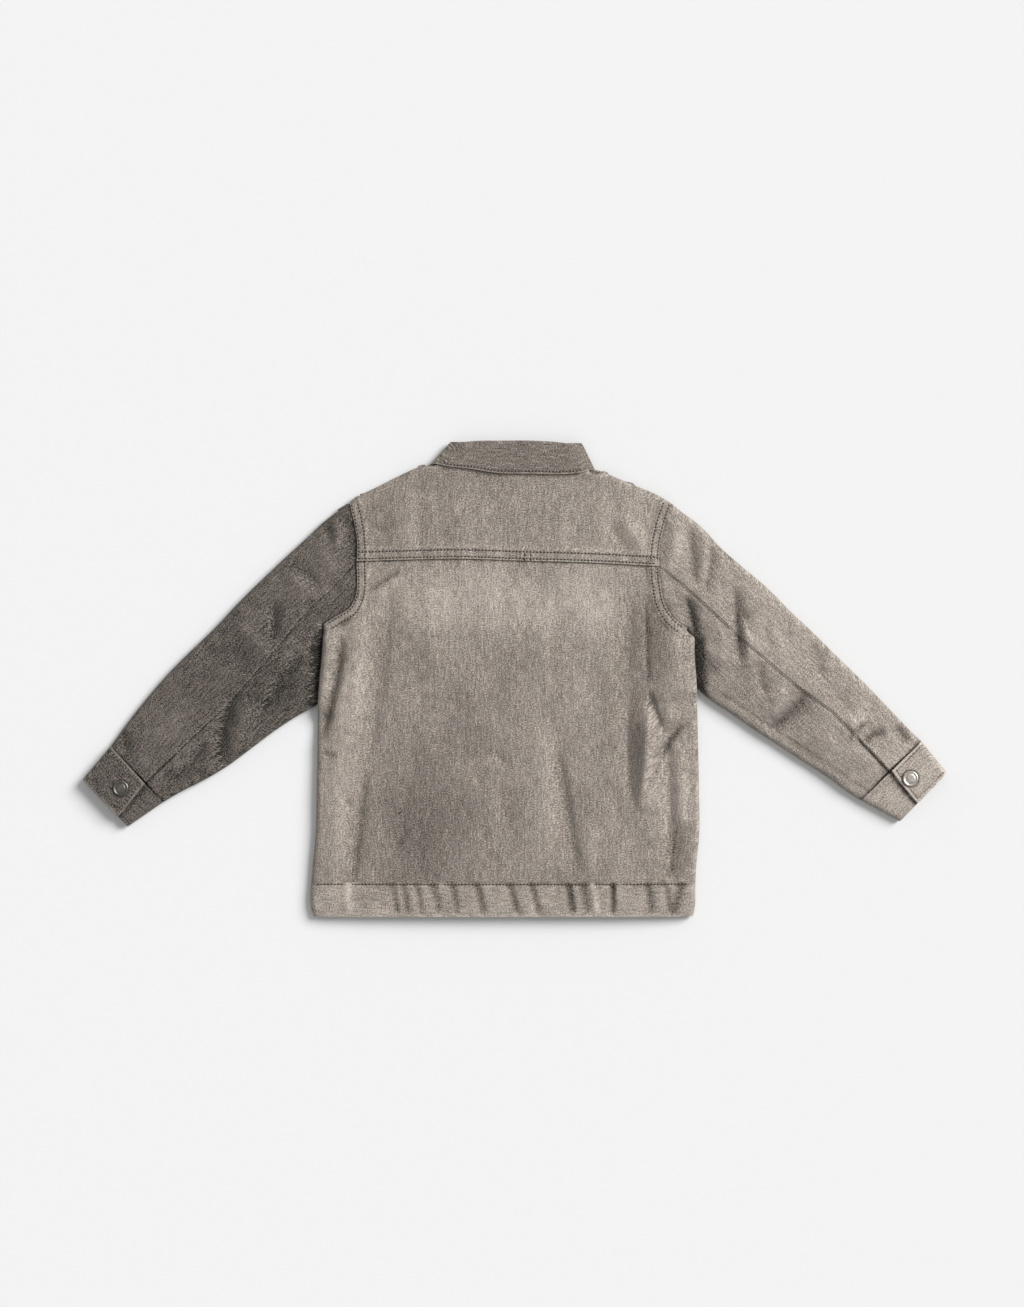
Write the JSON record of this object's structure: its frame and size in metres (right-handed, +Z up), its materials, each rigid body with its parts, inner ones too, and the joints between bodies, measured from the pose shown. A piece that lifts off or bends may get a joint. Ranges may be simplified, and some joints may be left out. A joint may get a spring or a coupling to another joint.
{
  "type": "denim jacket",
  "caption": "Child's denim jacket laid flat with its back up, with turned-down collar, back yoke, long two-piece sleeves with snapped cuffs and a hem band.",
  "frame": {"origin": "on the floor under the middle of the laid garment's bounding box", "axes": "+X across the garment, to the right of one who looks down at its back with the collar away; +Y from hem to collar; +Z up from the floor"},
  "size_m": [0.8621, 0.4745, 0.0158],
  "materials": {
    "denim": "washed grey-brown twill, matt, with faded and worn places",
    "denim_band": "the same twill, doubled and stitched",
    "snap": "aged nickel, plain"
  },
  "bodies": {
    "root": {"back": "denim", "yoke": "denim", "front_left": "denim", "front_right": "denim", "hem_band": "denim_band", "collar": "denim_band", "sleeve_upper_left": "denim", "sleeve_under_left": "denim", "sleeve_upper_right": "denim", "sleeve_under_right": "denim", "cuff_left": "denim_band", "cuff_right": "denim_band", "cuff_snap_left": "snap", "cuff_snap_right": "snap", "front_snap_1": "snap", "front_snap_2": "snap", "front_snap_3": "snap", "front_snap_4": "snap", "front_snap_5": "snap", "front_snap_6": "snap"}
  },
  "joints": []
}
